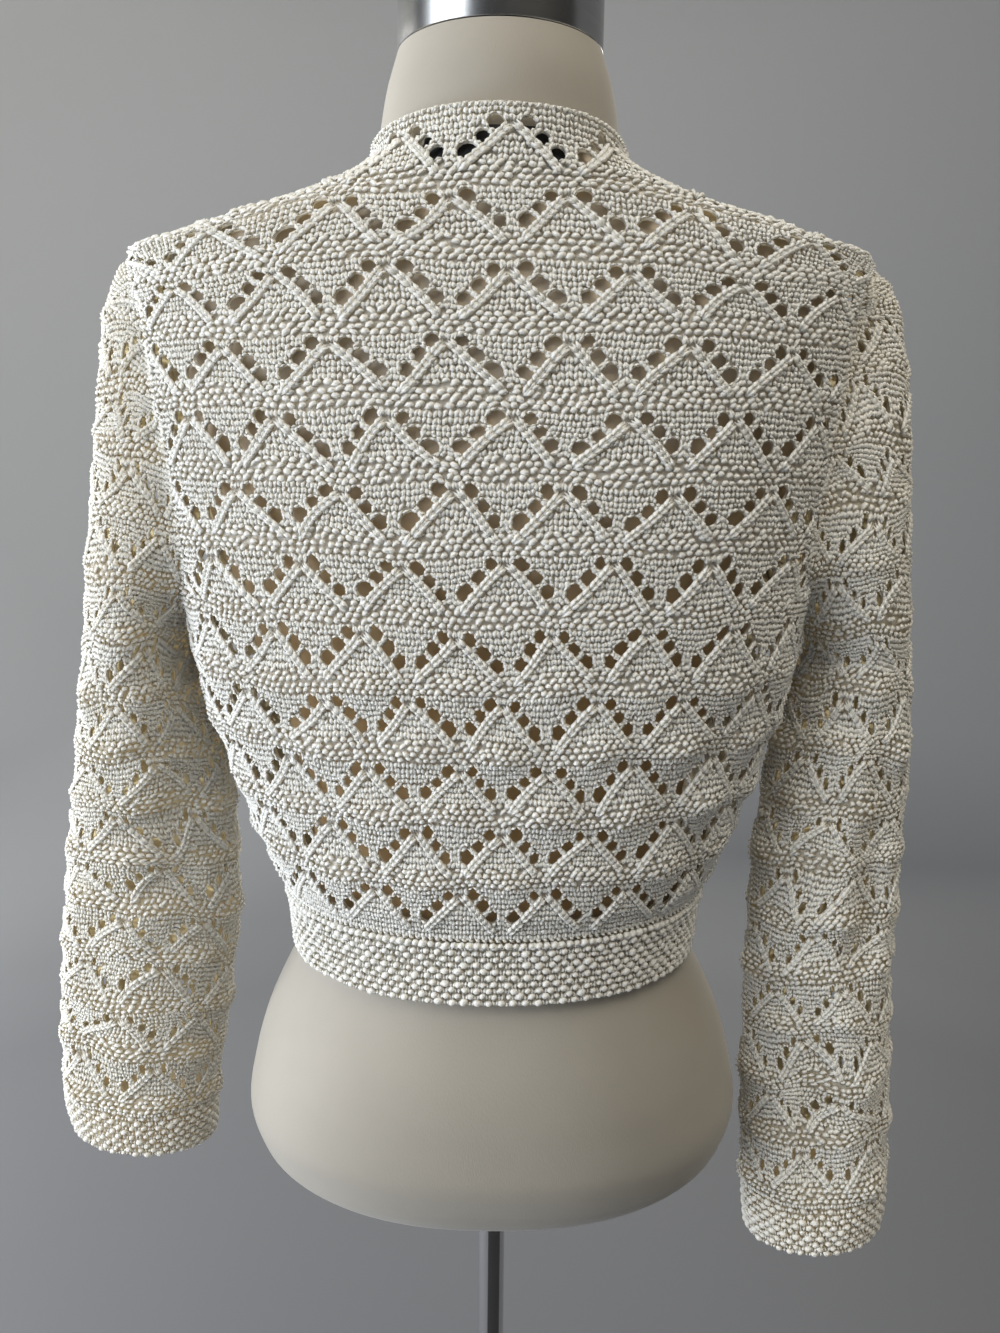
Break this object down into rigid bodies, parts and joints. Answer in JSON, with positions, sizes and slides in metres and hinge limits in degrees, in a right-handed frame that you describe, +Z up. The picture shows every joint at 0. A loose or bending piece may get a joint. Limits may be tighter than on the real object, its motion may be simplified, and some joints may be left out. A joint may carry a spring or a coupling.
{
  "type": "tie-front cardigan on a dress form",
  "caption": "Cropped lace-knit cardigan with long sleeves and a front tie, worn by a limbless dress form on a pole stand.",
  "frame": {"origin": "on the floor, at the middle of the base's underside", "axes": "+Z up, front faces -Y, the wearer's left is +X"},
  "size_m": [0.5731, 0.35, 1.4568],
  "materials": {
    "ivory_knit": "soft knit",
    "label_black": "woven",
    "form_jersey": "smooth jersey",
    "cap_steel": "brushed",
    "pole_chrome": "polished",
    "base_enamel": "satin"
  },
  "bodies": {
    "root": {"back_panel": "ivory_knit", "front_left": "ivory_knit", "front_right": "ivory_knit", "sleeve_left_back": "ivory_knit", "sleeve_left_front": "ivory_knit", "sleeve_right_back": "ivory_knit", "sleeve_right_front": "ivory_knit", "cuff_left": "ivory_knit", "cuff_right": "ivory_knit", "hem_back": "ivory_knit", "hem_left": "ivory_knit", "hem_right": "ivory_knit", "tie_knot": "ivory_knit", "tie_tail_left": "ivory_knit", "tie_tail_right": "ivory_knit", "neck_label": "label_black", "form_torso": "form_jersey", "form_cap": "cap_steel", "stand_pole": "pole_chrome", "stand_base": "base_enamel"}
  },
  "joints": []
}
